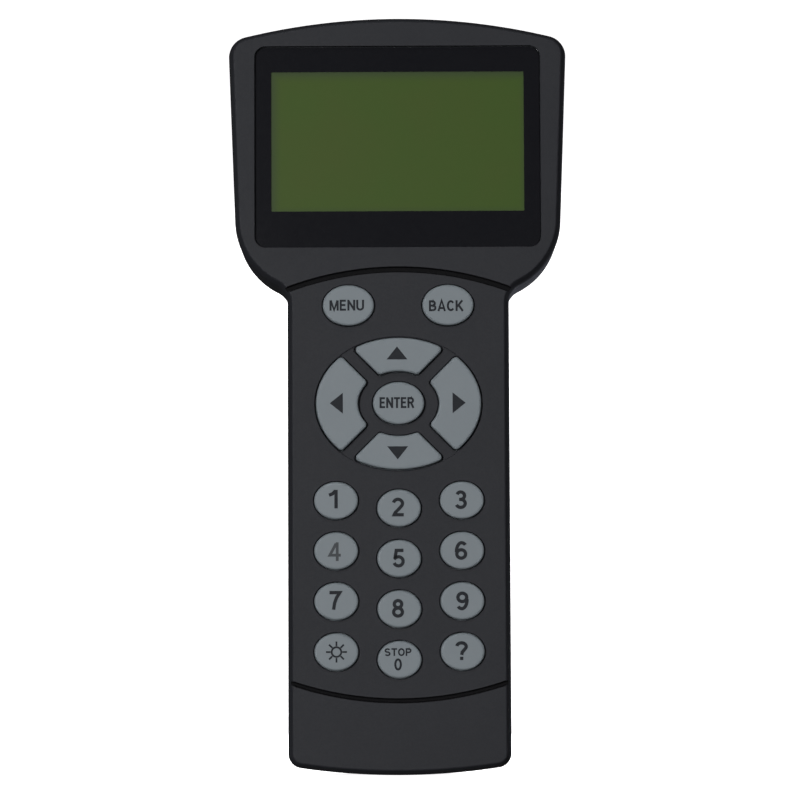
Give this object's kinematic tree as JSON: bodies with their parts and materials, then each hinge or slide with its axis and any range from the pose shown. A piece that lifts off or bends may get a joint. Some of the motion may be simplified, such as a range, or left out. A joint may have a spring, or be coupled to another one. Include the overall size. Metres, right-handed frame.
{
  "type": "hand controller",
  "caption": "Upright two-shell hand controller: wide head with a green graphic screen, straight handle with oval silicone keys and a direction pad, and two cable sockets in the bottom end",
  "frame": {"origin": "bottom centre of the overall box: mid width, mid depth, lowest point of the handle's end", "axes": "+Z runs along the handle to the top of the head, +X to the right of someone facing the keys, the front face looks along -Y"},
  "size_m": [0.0962, 0.0294, 0.2154],
  "materials": {
    "case_plastic": "fine matte texture",
    "window_pane": "gloss",
    "black_film": "gloss print",
    "foam_tape": "matte",
    "lcd_green": "satin",
    "heater_film": "satin",
    "diffuser": "satin",
    "holder_plastic": "matte",
    "ribbon": "satin",
    "circuit_board": "solder mask",
    "chip_black": "matte",
    "capacitor": "satin",
    "led_red": "clear",
    "socket_plastic": "satin",
    "gold_contact": "bright",
    "silicone_grey": "matte",
    "key_silicone": "soft matte",
    "red_lens": "gloss",
    "lead_wire": "tinned",
    "screw_steel": "zinc"
  },
  "bodies": {
    "case": {"front_shell": "case_plastic", "rear_shell": "case_plastic", "display_window": "window_pane", "window_border": "black_film", "window_tape": "foam_tape", "lcd_glass": "lcd_green", "lcd_heater": "heater_film", "lcd_backlight": "diffuser", "lcd_holder": "holder_plastic", "lcd_flex": "ribbon", "main_board": "circuit_board", "processor_chip": "chip_black", "memory_chip": "chip_black", "board_parts": "capacitor", "voltage_regulator": "chip_black", "key_leds": "led_red", "beeper": "chip_black", "mount_jack": "socket_plastic", "mount_jack_contacts": "gold_contact", "serial_jack": "socket_plastic", "serial_jack_contacts": "gold_contact", "keypad_mat": "silicone_grey", "reading_light_led": "led_red", "reading_light_lens": "red_lens", "reading_light_leads": "lead_wire", "case_screws": "screw_steel", "board_screws": "screw_steel"},
    "key_menu_body": {"key_menu": "key_silicone"},
    "key_back_body": {"key_back": "key_silicone"},
    "key_enter_body": {"key_enter": "key_silicone"},
    "key_up_body": {"key_up": "key_silicone"},
    "key_down_body": {"key_down": "key_silicone"},
    "key_left_body": {"key_left": "key_silicone"},
    "key_right_body": {"key_right": "key_silicone"},
    "key_1_body": {"key_1": "key_silicone"},
    "key_2_body": {"key_2": "key_silicone"},
    "key_3_body": {"key_3": "key_silicone"},
    "key_4_body": {"key_4": "key_silicone"},
    "key_5_body": {"key_5": "key_silicone"},
    "key_6_body": {"key_6": "key_silicone"},
    "key_7_body": {"key_7": "key_silicone"},
    "key_8_body": {"key_8": "key_silicone"},
    "key_9_body": {"key_9": "key_silicone"},
    "key_light_body": {"key_light": "key_silicone"},
    "key_0_stop_body": {"key_0_stop": "key_silicone"},
    "key_help_body": {"key_help": "key_silicone"}
  },
  "joints": [
    {"name": "key_menu_press", "type": "slide", "parent": "case", "child": "key_menu_body", "axis": [0, 1, 0], "range_m": [0, 0.001], "stiffness_N_per_m": 150},
    {"name": "key_back_press", "type": "slide", "parent": "case", "child": "key_back_body", "axis": [0, 1, 0], "range_m": [0, 0.001], "stiffness_N_per_m": 150},
    {"name": "key_enter_press", "type": "slide", "parent": "case", "child": "key_enter_body", "axis": [0, 1, 0], "range_m": [0, 0.001], "stiffness_N_per_m": 150},
    {"name": "key_up_press", "type": "slide", "parent": "case", "child": "key_up_body", "axis": [0, 1, 0], "range_m": [0, 0.001], "stiffness_N_per_m": 150},
    {"name": "key_down_press", "type": "slide", "parent": "case", "child": "key_down_body", "axis": [0, 1, 0], "range_m": [0, 0.001], "stiffness_N_per_m": 150},
    {"name": "key_left_press", "type": "slide", "parent": "case", "child": "key_left_body", "axis": [0, 1, 0], "range_m": [0, 0.001], "stiffness_N_per_m": 150},
    {"name": "key_right_press", "type": "slide", "parent": "case", "child": "key_right_body", "axis": [0, 1, 0], "range_m": [0, 0.001], "stiffness_N_per_m": 150},
    {"name": "key_1_press", "type": "slide", "parent": "case", "child": "key_1_body", "axis": [0, 1, 0], "range_m": [0, 0.001], "stiffness_N_per_m": 150},
    {"name": "key_2_press", "type": "slide", "parent": "case", "child": "key_2_body", "axis": [0, 1, 0], "range_m": [0, 0.001], "stiffness_N_per_m": 150},
    {"name": "key_3_press", "type": "slide", "parent": "case", "child": "key_3_body", "axis": [0, 1, 0], "range_m": [0, 0.001], "stiffness_N_per_m": 150},
    {"name": "key_4_press", "type": "slide", "parent": "case", "child": "key_4_body", "axis": [0, 1, 0], "range_m": [0, 0.001], "stiffness_N_per_m": 150},
    {"name": "key_5_press", "type": "slide", "parent": "case", "child": "key_5_body", "axis": [0, 1, 0], "range_m": [0, 0.001], "stiffness_N_per_m": 150},
    {"name": "key_6_press", "type": "slide", "parent": "case", "child": "key_6_body", "axis": [0, 1, 0], "range_m": [0, 0.001], "stiffness_N_per_m": 150},
    {"name": "key_7_press", "type": "slide", "parent": "case", "child": "key_7_body", "axis": [0, 1, 0], "range_m": [0, 0.001], "stiffness_N_per_m": 150},
    {"name": "key_8_press", "type": "slide", "parent": "case", "child": "key_8_body", "axis": [0, 1, 0], "range_m": [0, 0.001], "stiffness_N_per_m": 150},
    {"name": "key_9_press", "type": "slide", "parent": "case", "child": "key_9_body", "axis": [0, 1, 0], "range_m": [0, 0.001], "stiffness_N_per_m": 150},
    {"name": "key_light_press", "type": "slide", "parent": "case", "child": "key_light_body", "axis": [0, 1, 0], "range_m": [0, 0.001], "stiffness_N_per_m": 150},
    {"name": "key_0_stop_press", "type": "slide", "parent": "case", "child": "key_0_stop_body", "axis": [0, 1, 0], "range_m": [0, 0.001], "stiffness_N_per_m": 150},
    {"name": "key_help_press", "type": "slide", "parent": "case", "child": "key_help_body", "axis": [0, 1, 0], "range_m": [0, 0.001], "stiffness_N_per_m": 150}
  ]
}
